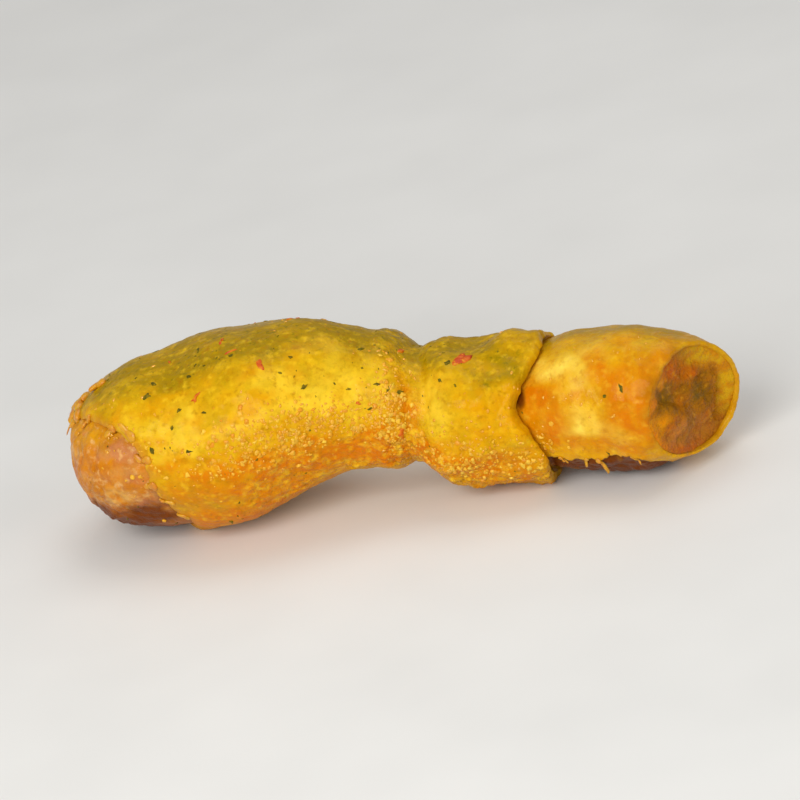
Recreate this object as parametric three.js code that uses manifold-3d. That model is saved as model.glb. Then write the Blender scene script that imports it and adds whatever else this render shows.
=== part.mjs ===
// A raw chicken drumstick in a yellow marinade, lying on its side. Millimetres, +Z up.
// It lies along X, with the thick knee end at -X and the ankle at +X, and rests on its belly and its ankle.
// The flesh fills a loose sleeve of skin, which is drawn off the ankle and gathers into a roll behind it.
// The ankle is a knob of skin and gristle, bent towards -Y and cut open, and the bone's head sits in the cut.
// Every surface is worked out from a place along the leg and an angle round it, in radians from 0 at the
// back, through a quarter turn on top and a half turn in front, to three quarters underneath.

import * as THREE from "three";
import { LoftGeometry } from "three/addons/geometries/LoftGeometry.js";
import { mergeVertices } from "three/addons/utils/BufferGeometryUtils.js";
import Module from "manifold-3d";

// Flesh
const KNEE_END = 7;
const KNEE_ROUND = 20;
const KNEE_BLUNT = 2.5;
const KNEE_SLOPE = 4;
const BELLY_RADIUS = 17;
const BELLY_FRONT = 1.16;
const BELLY_BACK = 1.14;
const SHANK_RADIUS = 10;
const TAPER = [40, 80];
const FLESH_END = 92;
const BEVEL = 0.8;
const MUSCLE_GROOVE = 0.8;

// The line through the leg
const BELLY_HEIGHT = 17.9;
const ANKLE_HEIGHT = 14.2;
const ANKLE_SLOPE = [66, 92];
const WAIST = 60;
const WAIST_WIDTH = 20;
const WAIST_ARCH = 4.2;
const BEND_START = 110;
const BEND_RADIUS = 35;

// Skin
const SKIN = 1.4;
const GAP = 0.4;
const HEM = 20;
const HEM_SLANT = 10;
const HEM_LOWEST = 220;
const HEM_TONGUE = 7;
const CUFF = 103.5;
const CUFF_SCALLOP = 4.5;
const CUFF_LIFT = 0.7;
const ROLL_RADIUS = 14.8;
const GATHER = 77.5;
const GATHER_DEPTH = 0.9;
const FOLD_HEIGHT = 0.9;

// Ankle
const KNUCKLE_START = 92.7;
const KNUCKLE_RADIUS = 14;
const KNUCKLE_SWELL = [94, 111];
const KNUCKLE_END = 134;
const KNUCKLE_BUMP = 0.9;
const BUMP_PLACE = 118;
const CHIN = 257;
const RIM = 1.2;
const CUP_DEPTH = 6;

// Bone
const BONE_GAP = 0.5;
const BONE_SHAFT = 4.3;
const BONE_START = 24;
const BONE_PLACES = [60, 92.3, 102, BEND_START];

// Flakes of chilli and of herbs in the marinade. The largest chilli flakes have a place along the leg,
// an angle round it in degrees and a length, and the others are strewn.
const CHILLI_SEEN = [
  [45, 113, 1.9],
  [38, 138, 2.5],
  [76.5, 95, 2.6],
  [89, 110, 4.2],
  [76, 182, 3.1],
];
const CHILLI_STREWN = 5;
const CHILLI_LENGTH = [1.8, 3];
const HERB_STREWN = 22;
const HERB_LENGTH = [1.2, 2.2];
const FLAKE_HEIGHT = 0.7;
const STREWN_ALONG = [24, 100];
const STREWN_HEIGHT = 4;
const SEED = 11;

// How finely each surface is divided, along the leg and round it
const CORE_COLUMNS = 40;
const SKIN_COLUMNS = 56;
const BONE_COLUMNS = 28;
const SKIN_ROWS = 44;
const LINING_ROWS = 16;
const KNEE_ROWS = 9;
const SHANK_ROWS = 17;
const KNUCKLE_ROWS = 20;
const DOME_ROWS = 7;

const TURN = 2 * Math.PI;
const radians = THREE.MathUtils.degToRad;
const mix = THREE.MathUtils.lerp;

const wasm = await Module();
wasm.setup();

// 0 before the first place, 1 after the second, and an even curve between them.
function rise([from, to], x) {
  return THREE.MathUtils.smoothstep(x, from, to);
}

// 1 at the middle, falling to nothing a few widths away.
function hump(middle, width, x) {
  return Math.exp(-(((x - middle) / width) ** 2));
}

// The same round the leg, where middle and width are in degrees.
function humpRound(middle, width, angle) {
  const off = THREE.MathUtils.euclideanModulo(angle - radians(middle) + Math.PI, TURN) - Math.PI;
  return hump(0, radians(width), off);
}

// The point this far along the leg's line and this far from it at this angle, and no lower than the floor.
function around(along, angle, radius, floor = 0) {
  const arch = WAIST_ARCH * hump(WAIST, WAIST_WIDTH, along);
  const height = mix(BELLY_HEIGHT, ANKLE_HEIGHT, rise(ANKLE_SLOPE, along)) + arch;
  const bend = Math.max(0, along - BEND_START) / BEND_RADIUS;
  const backward = BEND_RADIUS + radius * Math.cos(angle);
  const x = Math.min(along, BEND_START) + backward * Math.sin(bend);
  const y = backward * Math.cos(bend) - BEND_RADIUS;
  return new THREE.Vector3(x, y, Math.max(floor, height + radius * Math.sin(angle)));
}

// How far the flesh reaches from the leg's line: a blunt knee end that slopes on top, a belly with shallow
// grooves between its muscles, and a thin shank.
function fleshRadius(along, angle) {
  const belly = 1 - rise(TAPER, along);
  const ahead = THREE.MathUtils.clamp(1 - (along - KNEE_END) / KNEE_ROUND, 0, 1);
  const round = (1 - ahead ** KNEE_BLUNT) ** (1 / KNEE_BLUNT);
  const side = Math.cos(angle) < 0 ? BELLY_FRONT : BELLY_BACK;
  const wide = 1 + (side - 1) * Math.cos(angle) ** 2 * belly;
  const grooves = humpRound(204, 13, angle) + humpRound(318, 16, angle) + humpRound(62, 18, angle);
  const slope = KNEE_SLOPE * (1 - rise([KNEE_END, 2 * KNEE_ROUND], along)) * humpRound(85, 60, angle);
  return round * (mix(SHANK_RADIUS, BELLY_RADIUS, belly) * wide - MUSCLE_GROOVE * grooves * belly - slope);
}

// What lies under the skin: the flesh, and from the shank on the swelling ankle.
function coreRadius(along, angle) {
  return fleshRadius(along, angle) + (KNUCKLE_RADIUS - SHANK_RADIUS) * rise(KNUCKLE_SWELL, along);
}

// The ragged edge of the skin at the knee. It covers the top, with a tongue that reaches further on the
// upper front, and leaves the lower front bare.
function hemAlong(angle) {
  const ragged = 0.9 * Math.sin(5 * angle + 0.6) + 0.6 * Math.sin(9 * angle + 2.2);
  const tongue = HEM_TONGUE * humpRound(120, 32, angle);
  return HEM + HEM_SLANT * Math.cos(angle - radians(HEM_LOWEST)) - tongue + ragged;
}

// The lip of the skin at the ankle, cut back in front in one wide scallop.
function cuffAlong(angle) {
  return CUFF + 1.2 * Math.sin(angle) - CUFF_SCALLOP * humpRound(150, 38, angle) + 0.5 * Math.sin(4 * angle);
}

// The skin's inner side lies close to the core and stands off a little at the lip of the cuff.
function skinInside(along, angle) {
  return coreRadius(along, angle) + GAP + CUFF_LIFT * rise([CUFF - 8, CUFF - 1], along);
}

// The skin's outer side is smooth over the belly, pinched at the gather, then bunched up into a roll.
function skinOutside(along, angle) {
  const gather = GATHER + 1.8 * Math.cos(angle - radians(110)) + 0.8 * Math.sin(3 * angle);
  const roll = rise([gather, gather + 7], along) * (1 - 0.35 * rise([CUFF - 5, CUFF + 1], along));
  const pleats = 0.35 * Math.sin(9 * angle + 0.25 * along) + 0.3 * Math.sin(5 * angle - 0.2 * along + 1);
  const folds =
    FOLD_HEIGHT * hump(gather - 5, 3, along) -
    GATHER_DEPTH * hump(gather, 1.9, along) +
    FOLD_HEIGHT * hump(gather + 15 + 5 * Math.sin(angle + 0.9), 2.2, along) * humpRound(95, 55, angle) -
    FOLD_HEIGHT * hump(gather - 13 - 2 * Math.sin(2 * angle), 3.2, along) * humpRound(215, 70, angle);
  const loose = 0.4 * Math.sin(0.16 * along + 2 * angle + 0.7) + 0.3 * Math.sin(0.31 * along - 3 * angle);
  const bunched = mix(skinInside(along, angle) + SKIN, ROLL_RADIUS + pleats, roll);
  return Math.max(bunched + folds + loose, skinInside(along, angle) + 0.7 * SKIN);
}

// The knob of the ankle has a bump on each side of the joint, and narrows to its rim and most at its chin.
function knuckleRadius(along, angle) {
  const bumps = humpRound(120, 40, angle) + humpRound(250, 45, angle) - 0.7 * humpRound(190, 25, angle);
  const narrow = (1.3 + 2.2 * humpRound(CHIN, 50, angle)) * rise([KNUCKLE_END - 12, KNUCKLE_END], along);
  return coreRadius(along, angle) + KNUCKLE_BUMP * bumps * hump(BUMP_PLACE, 9, along) - narrow;
}

// The edge of the cut through the ankle draws back at the chin, and is not quite even.
function rimAlong(angle) {
  return KNUCKLE_END - 1.6 * humpRound(CHIN, 50, angle) + 0.4 * Math.sin(3 * angle + 1);
}

// The cut's inside, which the head of the bone fills.
function cupRadius(angle) {
  return knuckleRadius(KNUCKLE_END, angle) - RIM;
}

// One row of points round the leg, where place and radius may depend on the angle.
function ring(columns, alongAt, radiusAt, floor) {
  return Array.from({ length: columns }, (_, j) => {
    const angle = (TURN * j) / columns;
    const along = alongAt(angle);
    return around(along, angle, radiusAt(along, angle), floor);
  });
}

function evenSteps(count) {
  return Array.from({ length: count }, (_, i) => i / (count - 1));
}

// Steps from 0 to 1 that lie closer together near both ends.
function easedSteps(count) {
  return evenSteps(count).map((even) => mix(even, rise([0, 1], even), 0.75));
}

// The flesh, with a blind bore from the ankle side for the bone.
function fleshGeometry() {
  const row = (along, radiusAt) => ring(CORE_COLUMNS, () => along, radiusAt, SKIN + GAP);
  const knee = evenSteps(KNEE_ROWS).map((step) => KNEE_END + KNEE_ROUND * step ** 2);
  const shank = evenSteps(SHANK_ROWS).map((step) => mix(KNEE_END + KNEE_ROUND, FLESH_END - BEVEL, step));
  const outside = [...knee, ...shank.slice(1)].map((along) => row(along, fleshRadius));
  const end = row(FLESH_END, () => SHANK_RADIUS - BEVEL);
  const bore = [FLESH_END, BONE_PLACES[0], BONE_START - 1].map((along) => row(along, () => BONE_SHAFT + GAP));
  return new LoftGeometry([...outside, end, ...bore, row(BONE_START - 2, () => 0)]);
}

// The skin is a sleeve open at both ends, with its outer side rounded off at the hem and at the cuff's lip.
function sleeveGeometry() {
  const row = (step, radiusAt, floor) => {
    return ring(SKIN_COLUMNS, (angle) => mix(hemAlong(angle), cuffAlong(angle), step), radiusAt, floor);
  };
  const rounded = (along, angle) => {
    const toEdge = Math.min(along - hemAlong(angle), cuffAlong(angle) - along) / SKIN;
    const full = Math.sqrt(1 - (1 - Math.min(1, toEdge)) ** 2);
    return mix(skinInside(along, angle) + 0.25 * SKIN, skinOutside(along, angle), full);
  };
  const outside = easedSteps(SKIN_ROWS).map((step) => row(step, rounded));
  const inside = easedSteps(LINING_ROWS).reverse().map((step) => row(step, skinInside, SKIN));
  return new LoftGeometry([...outside, ...inside, outside[0]]);
}

// The knob of the ankle, with a cup for the head of the bone and a bore for its shaft. Inside the cuff
// it keeps clear of the skin under it.
function knuckleGeometry() {
  const row = (alongAt, radiusAt, floor) => ring(CORE_COLUMNS, alongAt, radiusAt, floor);
  const start = row(() => KNUCKLE_START, (along, angle) => knuckleRadius(along, angle) - BEVEL, SKIN + GAP);
  const outside = evenSteps(KNUCKLE_ROWS).map((step) => {
    const floor = (SKIN + GAP) * (1 - rise([CUFF + 0.5, CUFF + 5], mix(KNUCKLE_START, KNUCKLE_END, step)));
    return row((angle) => mix(KNUCKLE_START + BEVEL, rimAlong(angle) - RIM / 2, step), knuckleRadius, floor);
  });
  const lip = [45, 90, 135, 180].map((turn) =>
    row(
      (angle) => rimAlong(angle) - (RIM / 2) * (1 - Math.sin(radians(turn))),
      (along, angle) => knuckleRadius(rimAlong(angle), angle) - (RIM / 2) * (1 - Math.cos(radians(turn))),
    ),
  );
  const cup = [0.4, 1].map((deep) => {
    return row(() => KNUCKLE_END - CUP_DEPTH * deep, (along, angle) => cupRadius(angle));
  });
  const bored = [KNUCKLE_END - CUP_DEPTH - 4, ...BONE_PLACES.slice(2).reverse(), KNUCKLE_START];
  const bore = bored.map((place) => row(() => place, () => BONE_SHAFT + GAP));
  return new LoftGeometry([start, ...outside, ...lip, ...cup, ...bore, start]);
}

// The bone: a shaft that runs from inside the flesh to a knobbly head with a groove across it.
function boneGeometry() {
  const row = (along, radiusAt) => ring(BONE_COLUMNS, () => along, radiusAt);
  const headRadius = (angle, share) => (cupRadius(angle) - BONE_GAP) * share;
  const shaft = [BONE_START + 1, ...BONE_PLACES].map((along) => row(along, () => BONE_SHAFT));
  const neck = KNUCKLE_END - CUP_DEPTH + BONE_GAP;
  const flare = row(neck - 3.4, () => BONE_SHAFT);
  const brim = row(neck + 0.4, (along, angle) => headRadius(angle, 0.95));
  const dome = evenSteps(DOME_ROWS).reverse().map((step) => {
    const lobes = (angle) => 0.9 * (1 - step / 2) * Math.cos(2 * angle - 1) - 0.4 * Math.cos(angle);
    const top = (angle) => KNUCKLE_END - 0.6 - 0.8 * step ** 2 + step * lobes(angle);
    return ring(BONE_COLUMNS, top, (along, angle) => headRadius(angle, step));
  });
  return new LoftGeometry([row(BONE_START, () => 0), ...shaft, flare, brim, ...dome]);
}

// A closed geometry as a solid that can be joined to others.
function solidOf(geometry) {
  const bare = new THREE.BufferGeometry().setAttribute("position", geometry.getAttribute("position"));
  const merged = mergeVertices(bare.setIndex(geometry.index), 1e-4);
  const vertProperties = merged.getAttribute("position").array;
  const triVerts = new Uint32Array(merged.index.array);
  return new wasm.Manifold(new wasm.Mesh({ numProp: 3, vertProperties, triVerts }));
}

function geometryOf(solid) {
  const { vertProperties, triVerts } = solid.getMesh();
  const geometry = new THREE.BufferGeometry();
  geometry.setAttribute("position", new THREE.Float32BufferAttribute(vertProperties, 3));
  return geometry.setIndex(new THREE.Uint32BufferAttribute(triVerts, 1));
}

// Draws between 0 and 1 that are the same each time the file runs.
function drawsFrom(seed) {
  let state = seed;
  return () => {
    state = (state * 1664525 + 1013904223) % 4294967296;
    return state / 4294967296;
  };
}

// A flake that lies flat on the skin, half sunk in it and turned by any angle.
function flakeGeometry(along, angle, length, turn) {
  const at = (further, round) => {
    return around(along + further, angle + round, skinOutside(along + further, angle + round));
  };
  const lengthwise = at(0.5, 0).sub(at(-0.5, 0)).normalize();
  const outward = at(0, 0.03).sub(at(0, -0.03)).cross(lengthwise).normalize();
  const across = outward.clone().cross(lengthwise);
  const flake = new THREE.OctahedronGeometry(1, 1).scale(length / 2, length / 3, FLAKE_HEIGHT).rotateZ(turn);
  return flake.applyMatrix4(new THREE.Matrix4().makeBasis(lengthwise, across, outward).setPosition(at(0, 0)));
}

// The sleeve of skin with its flakes joined on.
function skinGeometry() {
  const draw = drawsFrom(SEED);
  const seen = CHILLI_SEEN.map(([along, degrees, length]) => [along, radians(degrees), length]);
  const place = (lengths) => [mix(...STREWN_ALONG, draw()), TURN * draw(), mix(...lengths, draw())];
  const strewn = (count, lengths) => Array.from({ length: count }, () => place(lengths));
  const all = [...seen, ...strewn(CHILLI_STREWN, CHILLI_LENGTH), ...strewn(HERB_STREWN, HERB_LENGTH)];
  const onSkin = all.filter(([along, angle]) => {
    const clear = along > hemAlong(angle) + 2 && along < cuffAlong(angle) - 3;
    return clear && around(along, angle, skinOutside(along, angle)).z > STREWN_HEIGHT;
  });
  const flakes = onSkin.map(([along, angle, length]) => flakeGeometry(along, angle, length, TURN * draw()));
  return geometryOf(flakes.reduce((joined, flake) => joined.add(solidOf(flake)), solidOf(sleeveGeometry())));
}

const drumstick = new THREE.Group();
function addPiece(name, geometry, color, roughness) {
  const mesh = new THREE.Mesh(geometry, new THREE.MeshStandardMaterial({ color, roughness, metalness: 0 }));
  mesh.name = name;
  drumstick.add(mesh);
}
addPiece("flesh", fleshGeometry(), "#cf8e4c", 0.45);
addPiece("skin", skinGeometry(), "#dfb32c", 0.4);
addPiece("knuckle", knuckleGeometry(), "#e6ad24", 0.4);
addPiece("bone", boneGeometry(), "#935610", 0.5);

// The origin is the middle of the bottom of the whole.
const box = new THREE.Box3().setFromObject(drumstick);
const middle = box.getCenter(new THREE.Vector3());
for (const mesh of drumstick.children) mesh.position.set(-middle.x, -middle.y, -box.min.z);

export default drumstick;
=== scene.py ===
import bpy
import numpy as np
from mathutils import Matrix, Vector


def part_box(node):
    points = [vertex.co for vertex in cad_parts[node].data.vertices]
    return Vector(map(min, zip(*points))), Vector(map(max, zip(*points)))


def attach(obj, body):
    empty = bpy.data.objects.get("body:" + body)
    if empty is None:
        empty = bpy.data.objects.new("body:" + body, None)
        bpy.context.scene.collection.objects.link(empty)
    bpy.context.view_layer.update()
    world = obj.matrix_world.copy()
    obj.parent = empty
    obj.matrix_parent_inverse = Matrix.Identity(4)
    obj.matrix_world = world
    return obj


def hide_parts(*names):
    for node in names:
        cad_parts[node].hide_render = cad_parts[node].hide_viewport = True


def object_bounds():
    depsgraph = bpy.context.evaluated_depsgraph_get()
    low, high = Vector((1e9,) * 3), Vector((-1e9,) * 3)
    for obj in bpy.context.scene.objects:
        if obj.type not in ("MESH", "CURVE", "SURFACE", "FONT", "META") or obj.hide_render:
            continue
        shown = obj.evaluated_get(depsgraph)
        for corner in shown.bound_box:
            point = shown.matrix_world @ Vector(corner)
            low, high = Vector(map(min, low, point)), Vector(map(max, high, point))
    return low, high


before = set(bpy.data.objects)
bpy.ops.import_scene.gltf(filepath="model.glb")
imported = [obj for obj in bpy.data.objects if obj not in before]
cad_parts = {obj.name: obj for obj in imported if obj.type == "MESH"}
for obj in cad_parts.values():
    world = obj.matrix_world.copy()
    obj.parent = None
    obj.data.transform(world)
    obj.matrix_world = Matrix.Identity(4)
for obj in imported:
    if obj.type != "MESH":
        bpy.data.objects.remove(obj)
cad_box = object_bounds()

# The flesh. It is the leg's bundle of long muscles in their thin wet membrane, bare at the knee end, where
# the skin stops short, and under the skin from there on. Sizes are in millimetres. A place on the leg is
# how far along it lies and its angle: 0 at the back, a quarter turn on top, half a turn in front.
KNEE_END, KNEE_ROUND, KNEE_BLUNT, KNEE_SLOPE = 7, 20, 2.5, 4
BELLY_RADIUS, BELLY_FRONT, BELLY_BACK = 17, 1.16, 1.14
SHANK_RADIUS, TAPER, FLESH_END = 10, (40, 80), 92
MUSCLE_GROOVE = 0.8
BELLY_HEIGHT, ANKLE_HEIGHT, ANKLE_SLOPE = 17.9, 14.2, (66, 92)
WAIST, WAIST_WIDTH, WAIST_ARCH = 60, 20, 4.2
BEND_START, BEND_RADIUS = 110, 35
FLESH_FLOOR = 1.8
FLESH_ROWS, FLESH_COLUMNS = 230, 300


def rise(start, end, x):
    """From 0 at start to 1 at end by the even curve 3t² - 2t³, where t is the share of the way."""
    t = np.clip((x - start) / (end - start), 0, 1)
    return t * t * (3 - 2 * t)


def hump(middle, width, x):
    """A bell that is 1 at the middle and exp(-t²) at t widths from it."""
    return np.exp(-(((x - middle) / width) ** 2))


def hump_round(middle, width, angle):
    """The bell round the leg, with middle and width in degrees, by the shorter way round."""
    return hump(0, width, (np.degrees(angle) - middle + 180) % 360 - 180)


def mixed(a, b, share):
    """A straight mix of a and b, all of it b where the share is 1."""
    return a + (b - a) * share


def leg_place(along, angle, radius, floor=0):
    """The point at this radius and angle from the leg's line, no lower than the floor. The line runs level
    along X, a little arched at the waist, and past the start of the bend it follows a circle towards -Y."""
    level = mixed(BELLY_HEIGHT, ANKLE_HEIGHT, rise(*ANKLE_SLOPE, along))
    height = level + WAIST_ARCH * hump(WAIST, WAIST_WIDTH, along)
    bend = np.maximum(0, along - BEND_START) / BEND_RADIUS
    backward = BEND_RADIUS + radius * np.cos(angle)
    x = np.minimum(along, BEND_START) + backward * np.sin(bend)
    y = backward * np.cos(bend) - BEND_RADIUS
    z = np.maximum(floor, height + radius * np.sin(angle))
    return np.stack(np.broadcast_arrays(x, y, z), -1)


def flesh_radius(along, angle):
    """A blunt quarter round at the knee end, times a belly that is wider at the sides and tapers to the
    shank, less three shallow grooves between muscles and a slope on top of the knee."""
    belly = 1 - rise(*TAPER, along)
    ahead = np.clip(1 - (along - KNEE_END) / KNEE_ROUND, 0, 1)
    side = np.where(np.cos(angle) < 0, BELLY_FRONT, BELLY_BACK)
    wide = 1 + (side - 1) * np.cos(angle) ** 2 * belly
    grooves = hump_round(204, 13, angle) + hump_round(318, 16, angle) + hump_round(62, 18, angle)
    slope = KNEE_SLOPE * (1 - rise(KNEE_END, 2 * KNEE_ROUND, along)) * hump_round(85, 60, angle)
    full = mixed(SHANK_RADIUS, BELLY_RADIUS, belly) * wide - MUSCLE_GROOVE * grooves * belly - slope
    return (1 - ahead**KNEE_BLUNT) ** (1 / KNEE_BLUNT) * full


def cloud(points, size, seed):
    """Smooth chance values from about -1 to 1. Each corner of a lattice of cubes of this size holds a slope
    in a chance direction, and the value is mixed from the eight slopes' heights by an even curve."""
    chance = np.random.default_rng(seed)
    slopes = chance.normal(size=(256, 3))
    slopes /= np.linalg.norm(slopes, axis=1)[:, None]
    order = chance.permutation(256)
    cell = np.floor(points / size).astype(int)
    inside = points / size - cell
    eased = inside**3 * (inside * (6 * inside - 15) + 10)
    total = 0
    for corner in np.ndindex(2, 2, 2):
        x, y, z = np.moveaxis((cell + corner) & 255, -1, 0)
        slope = slopes[order[(order[(order[x] + y) & 255] + z) & 255]]
        share = np.prod(np.where(np.array(corner) == 1, eased, 1 - eased), axis=-1)
        total = total + share * np.sum(slope * (inside - corner), axis=-1)
    return 1.7 * total


def clouds(points, size, seed, layers=3):
    """Clouds of this size and of each half size after it, each half as strong as the one before."""
    return sum(cloud(points, size / 2**k, seed + k) / 2**k for k in range(layers))


def ragged(angle, size, seed):
    """Chance values round the leg whose waves are about this many millimetres long on its girth."""
    girth = BELLY_RADIUS * np.stack([np.cos(angle), np.sin(angle), 0 * angle], -1)
    return cloud(girth, size, seed)


def new_piece(name, points, faces):
    """An object with a smooth mesh through these points in millimetres."""
    mesh = bpy.data.meshes.new(name)
    mesh.from_pydata(((points + MOVED) / 1000).tolist(), [], faces)
    mesh.polygons.foreach_set("use_smooth", np.ones(len(mesh.polygons), bool))
    piece = bpy.data.objects.new(name, mesh)
    bpy.context.collection.objects.link(piece)
    return piece


def wrapped(name, rows, ends):
    """A mesh through rows of points in millimetres that go round the leg, each row joined to the next and
    its last point to its first. The ends are closed at a point, or the last row is joined to the first."""
    count, columns = rows.shape[:2]
    index = np.arange(count * columns).reshape(count, columns)
    if ends == "joined":
        index = np.vstack([index, index[:1]])
    across = np.roll(index, -1, axis=1)
    quads = np.stack([index[:-1], across[:-1], across[1:], index[1:]], -1).reshape(-1, 4)
    points, faces = rows.reshape(-1, 3), quads.tolist()
    if ends == "points":
        tips = [rows[0].mean(0), rows[-1].mean(0)]
        points = np.vstack([points, tips])
        first, last = count * columns, count * columns + 1
        faces += [(first, b, a) for a, b in zip(index[0].tolist(), across[0].tolist())]
        faces += [(a, b, last) for a, b in zip(index[-1].tolist(), across[-1].tolist())]
    return new_piece(name, points, faces)


def paint(piece, **shares):
    """Each named share, 0 to 1 at each point of a piece's rows, becomes an attribute for its material."""
    for name, share in shares.items():
        values = np.zeros(len(piece.data.vertices), np.float32)
        values[: share.size] = np.clip(share, 0, 1).ravel()
        values[share.size :] = np.clip(share[[0, -1]].mean(-1), 0, 1)[: len(values) - share.size]
        piece.data.attributes.new(name, "FLOAT", "POINT").data.foreach_set("value", values)


def colour(code):
    """An sRGB hex colour as linear light: v/12.92 where v is small, else ((v + 0.055)/1.055)^2.4."""
    v = np.array([int(code[i : i + 2], 16) for i in (1, 3, 5)]) / 255
    return (*np.where(v <= 0.04045, v / 12.92, ((v + 0.055) / 1.055) ** 2.4), 1)


def node(tree, kind, inputs=(), **settings):
    """Adds a node with its settings. Each input is linked to the output that it is given, or set to the
    value, where a hex code is a colour."""
    made = tree.nodes.new("ShaderNode" + kind)
    for key, value in settings.items():
        setattr(made, key, value)
    for key, value in dict(inputs).items():
        if isinstance(value, bpy.types.NodeSocket):
            tree.links.new(value, made.inputs[key])
        else:
            made.inputs[key].default_value = colour(value) if isinstance(value, str) else value
    return made


def new_material(piece, name, settings):
    """Gives the piece a material with a Principled shader of these settings, joined to the output. Returns
    its node tree, the shader and the Object coordinates."""
    made = bpy.data.materials.new(name)
    made.use_nodes = True
    piece.data.materials.append(made)
    tree = made.node_tree
    tree.nodes.clear()
    shader = node(tree, "BsdfPrincipled", {"Subsurface Scale": 1, **settings})
    node(tree, "OutputMaterial", {"Surface": shader.outputs[0]})
    return tree, shader, node(tree, "TexCoord").outputs["Object"]


def speckle(place, size, low, high, detail=2):
    """Chance noise in blotches of about this many millimetres, stretched from 0 at low to 1 at high."""
    tree = place.id_data
    noise = node(tree, "TexNoise", {"Vector": place, "Scale": 1000 / size, "Detail": detail}).outputs[0]
    limits = {"Value": noise, "From Min": low, "From Max": high}
    return node(tree, "MapRange", limits, clamp=True).outputs[0]


def product(tree, first, *others):
    """The product of shares, each of which is an output, a number or the name of a painted attribute."""
    named = [
        node(tree, "Attribute", attribute_name=share).outputs["Fac"] if isinstance(share, str) else share
        for share in (first, *others)
    ]
    total = named[0]
    for share in named[1:]:
        total = node(tree, "Math", {0: total, 1: share}, operation="MULTIPLY").outputs[0]
    return total


def laid_over(tree, tone, *layers):
    """Colours laid over one another, the first at the bottom. Each layer is a colour, a hex code or an
    output, and the shares whose product says how much of it shows."""
    for over, *shares in layers:
        inputs = {0: product(tree, *shares), 6: tone, 7: over}
        tone = node(tree, "Mix", inputs, data_type="RGBA").outputs[2]
    return tone


def join(shader, tone, bumps=()):
    """Joins the colour to the shader, and bumps, each of a height map and its depth in millimetres."""
    tree = shader.id_data
    tree.links.new(tone, shader.inputs["Base Color"])
    normal = None
    for height, depth in bumps:
        bump = node(tree, "Bump", {"Height": height, "Distance": depth / 1000, "Strength": 1})
        if normal:
            tree.links.new(normal, bump.inputs["Normal"])
        normal = bump.outputs[0]
    if normal:
        tree.links.new(normal, shader.inputs["Normal"])


def angles_round(count):
    """This many angles in even steps, as one row."""
    return np.linspace(0, 2 * np.pi, count, endpoint=False)[None, :]


MOVED = np.zeros(3)
flesh_steps = np.linspace(0, 1, FLESH_ROWS)[:, None]
flesh_along = KNEE_END + (FLESH_END - KNEE_END) * flesh_steps**1.35
round_leg = angles_round(FLESH_COLUMNS)
plain = leg_place(flesh_along, round_leg, flesh_radius(flesh_along, round_leg), FLESH_FLOOR)
low, high = (np.array(corner) * 1000 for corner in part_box("flesh"))
MOVED = (low + high) / 2 - (plain.min((0, 1)) + plain.max((0, 1))) / 2
MOVED[2] = 0


def patches(places, *bells):
    """The sum of oval bells at places along and round the leg. Each has its middle along the leg and round
    it in degrees, its half length, its half width in degrees and its strength."""
    along, angle = places
    total = 0
    for at, degrees, length, width, strength in bells:
        total = total + strength * hump(at, length, along) * hump_round(degrees, width, angle)
    return total


def astray(along, angle, points, seed, amount=1.0):
    """The places moved by clouds, by about 3 mm and 10 degrees, so that a patch's edge wanders."""
    return (
        along + 2.6 * amount * clouds(points, 7, seed),
        angle + np.radians(11 * amount) * clouds(points, 7, seed + 5),
    )


# Muscle grain lies in strands along the leg, about 1 mm wide, and the cut end is lumpy.
strands = plain * (0.14, 1, 1) + 0.5 * np.sin(0.25 * plain[..., [1, 2, 0]])
at_cut = 1 - rise(12, 26, flesh_along)
relief = 0.5 * cloud(plain, 9, 5) + 0.14 * clouds(plain, 2, 4)
relief += 0.2 * cloud(strands, 1.6, 3) * (1 - 0.6 * at_cut)
relief += at_cut * (0.6 * clouds(plain, 4, 6) - 0.5 * np.maximum(0, 1 - 6 * np.abs(cloud(plain, 6, 7))))
flesh_radii = flesh_radius(flesh_along, round_leg) + relief * rise(0, 1, flesh_along - KNEE_END)
flesh_radii = np.maximum(0.01, flesh_radii)
flesh_rows = leg_place(flesh_along, round_leg, flesh_radii, FLESH_FLOOR)
flesh = wrapped("flesh_body", flesh_rows, "points")
places = astray(flesh_along, round_leg, plain, 8)
paint(
    flesh,
    yolk=patches(
        places, (24, 152, 7, 10, 1), (31, 185, 5, 22, 1), (9, 120, 6, 30, 1), (14, 140, 5, 8, 0.6),
        (14, 60, 9, 50, 0.7), (34, 330, 9, 60, 0.6),
    ) + 0.35 * cloud(plain, 5, 9),
    # pale: partly a painted highlight in front where the light falls, partly paler strands of membrane
    pale=patches(
        places, (17, 190, 7, 8, 1), (10, 152, 3, 12, 0.6), (12, 20, 6, 30, 0.5),
    ) + 0.4 * cloud(strands, 3, 10),
    # brown: painted shade on the underside of the flesh, with chance blotches
    brown=patches(
        places, (26, 208, 9, 12, 1), (14, 225, 10, 18, 1), (16, 262, 12, 40, 1), (26, 300, 10, 30, 0.7),
    ) * rise(8, 13, flesh_along) + 0.25 * cloud(plain, 5, 12),
)
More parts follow.
